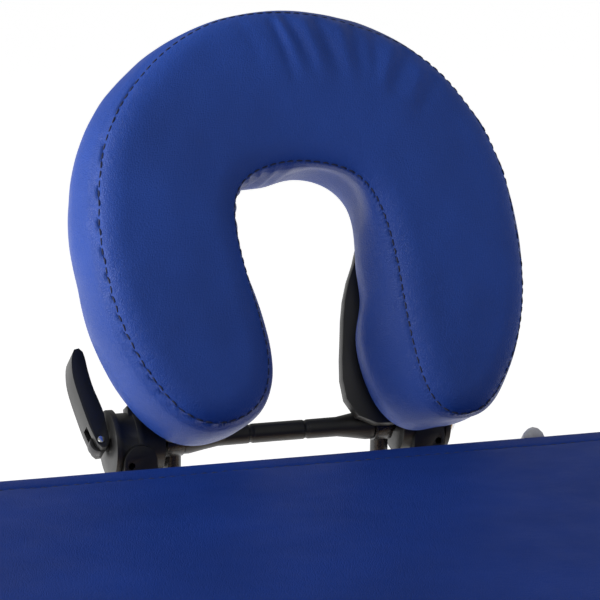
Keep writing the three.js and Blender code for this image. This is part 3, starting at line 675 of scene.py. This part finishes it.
def round_rect(hx, hy, r, n_side_x, n_side_y, n_c):
    pts = []
    r = max(r, 0.0005)
    for cx, cy, a0 in ((hx - r, hy - r, 0), (-hx + r, hy - r, 90), (-hx + r, -hy + r, 180), (hx - r, -hy + r, 270)):
        for k in range(n_c + 1):
            a = math.radians(a0 + 90 * k / n_c)
            pts.append((cx + r * math.cos(a), cy + r * math.sin(a)))
        # straight run to the next corner
        n = n_side_x if a0 in (0, 180) else n_side_y
        nx, ny = {0: (-hx + r, hy), 90: (-hx, -hy + r), 180: (hx - r, -hy), 270: (hx, hy - r)}[a0]
        x0, y0 = pts[-1]
        for k in range(1, n):
            pts.append((x0 + (nx - x0) * k / n, y0 + (ny - y0) * k / n))
    return np.array(pts)


def table_pad(half):
    lo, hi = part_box(f"{half}_pad")
    cx, cy = (lo.x + hi.x) / 2, (lo.y + hi.y) / 2
    hx, hy = (hi.x - lo.x) / 2, (hi.y - lo.y) / 2
    z0 = lo.z
    top = hi.z
    scale = (top - z0) / 0.0500
    rings = []
    for d, h in PROFILE:
        d /= 1000
        L = round_rect(hx - d, hy - d, 0.024 - min(d, 0.0225) if d > 0 else 0.024, 80, 110, 8)
        x, y = L[:, 0], L[:, 1]
        z = np.full(len(L), h / 1000 * (scale if h <= 50 else 1.0))
        inside = max(0.0, min(1.0, (d - 0.003) / 0.03))
        z = z + inside * 0.00045 * hash_noise(x * 38 + cy * 9, y * 38, 2.2)
        if 0.018 < d < 0.05:
            z = z + 0.00022 * hash_noise(x * 330, y * 330, 5.1)
        side = 0.0004 * hash_noise((x + y) * 60, np.full(len(L), h * 0.05), 3.3) if 3 < h < 46 and d < 0.006 else 0.0
        rings.append(np.column_stack([cx + x * (1 + side / hx), cy + y * (1 + side / hy), z0 + z]))
    n = len(rings[0])
    V = np.vstack(rings)
    F = []
    for r in range(len(rings) - 1):
        for i in range(n):
            j = (i + 1) % n
            F.append((r * n + i, r * n + j, (r + 1) * n + j, (r + 1) * n + i))
    F.append(tuple(range(n))[::-1])
    F.append(tuple((len(rings) - 1) * n + i for i in range(n)))
    o = link(f"{half}_pad_cover", V, F, M_PAD_PAINTED_SHADE, f"{half}_half")
    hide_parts(f"{half}_pad")
    k = [i for i, (d, _) in enumerate(PROFILE) if d == 28.0][0]
    L = np.vstack([rings[k], rings[k][:1]])
    up = np.zeros_like(L)
    up[:, 2] = 1
    stitch_row(f"{half}_pad_thread", L, up, M_THREAD, f"{half}_half", 0.0050, 0.0018, 0.00055)
    return o


table_pad("head")
table_pad("foot")

# ---------------------------------------------------------------- stay cables
def tube(name, path, r, mat, body, n=10):
    path = np.asarray(path, float)
    V, F = [], []
    prev = None
    for i, p in enumerate(path):
        d = path[min(i + 1, len(path) - 1)] - path[max(i - 1, 0)]
        d /= np.linalg.norm(d)
        if prev is None:
            ref = np.array([1.0, 0, 0])
            u = np.cross(d, ref)
        else:
            u = prev - d * np.dot(prev, d)
        u /= np.linalg.norm(u)
        prev = u
        w = np.cross(d, u)
        for k in range(n):
            a = 2 * math.pi * k / n
            V.append(p + (u * math.cos(a) + w * math.sin(a)) * r)
    for i in range(len(path) - 1):
        for k in range(n):
            a, b = i * n + k, i * n + (k + 1) % n
            F.append((a, b, b + n, a + n))
    F.append(tuple(range(n))[::-1])
    F.append(tuple((len(path) - 1) * n + k for k in range(n)))
    return link(name, V, F, mat, body)


for half, sy in (("head", 1), ("foot", -1)):
    for side in ("left", "right"):
        name = f"stay_cable_{half}_{side}"
        co = np.array([v.co for v in NODES[name].data.vertices], float)
        hi_end = co[co[:, 2] > co[:, 2].max() - 0.004].mean(0)
        lo_end = co[co[:, 2] < co[:, 2].min() + 0.004].mean(0)
        t = np.linspace(0, 1, 33)
        path = lo_end + (hi_end - lo_end) * t[:, None]
        path[:, 2] -= 0.006 * 4 * t * (1 - t)
        c = tube(f"{name}_wire", path, 0.0013, M_STEEL, f"{half}_half")
        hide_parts(name)
        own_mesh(c)

# ---------------------------------------------------------------- stage
SC.view_settings.view_transform = "Standard"
SC.view_settings.look = "None"
bm = bmesh.new()
bmesh.ops.create_grid(bm, x_segments=8, y_segments=8, size=40)
fme = bpy.data.meshes.new("floor")
bm.to_mesh(fme)
bm.free()
floor = bpy.data.objects.new("floor", fme)
SC.collection.objects.link(floor)
fm, fnt, fb = new_mat("floor_pale")
fb.inputs["Emission Color"].default_value = (1, 1, 1, 1)
fb.inputs["Emission Strength"].default_value = 0.66
fb.inputs["Base Color"].default_value = (0.93, 0.93, 0.93, 1)
fb.inputs["Roughness"].default_value = 0.9
fb.inputs["Specular IOR Level"].default_value = 0.1
fme.materials.append(fm)

world = bpy.data.worlds.new("studio")
SC.world = world
world.use_nodes = True
bg = next(n for n in world.node_tree.nodes if n.type == "BACKGROUND")
bg.inputs["Color"].default_value = (1, 1, 1, 1)
bg.inputs["Strength"].default_value = 0.36


def area(name, where, look, size, power, color=(1, 1, 1)):
    li = bpy.data.lights.new(name, "AREA")
    li.shape = "RECTANGLE"
    li.size, li.size_y = size
    li.energy = power
    li.color = color
    o = bpy.data.objects.new(name, li)
    SC.collection.objects.link(o)
    o.location = where
    o.rotation_euler = (Vector(look) - Vector(where)).to_track_quat("-Z", "Y").to_euler()
    return o


head = Vector(on_plate(0.02, 0.12, 0.05))
area("key", head + Vector((-1.9, 0.15, 0.75)), head, (1.0, 1.5), 43)
area("front", head + Vector((-0.9, -2.4, 1.7)), head, (1.6, 1.2), 7)
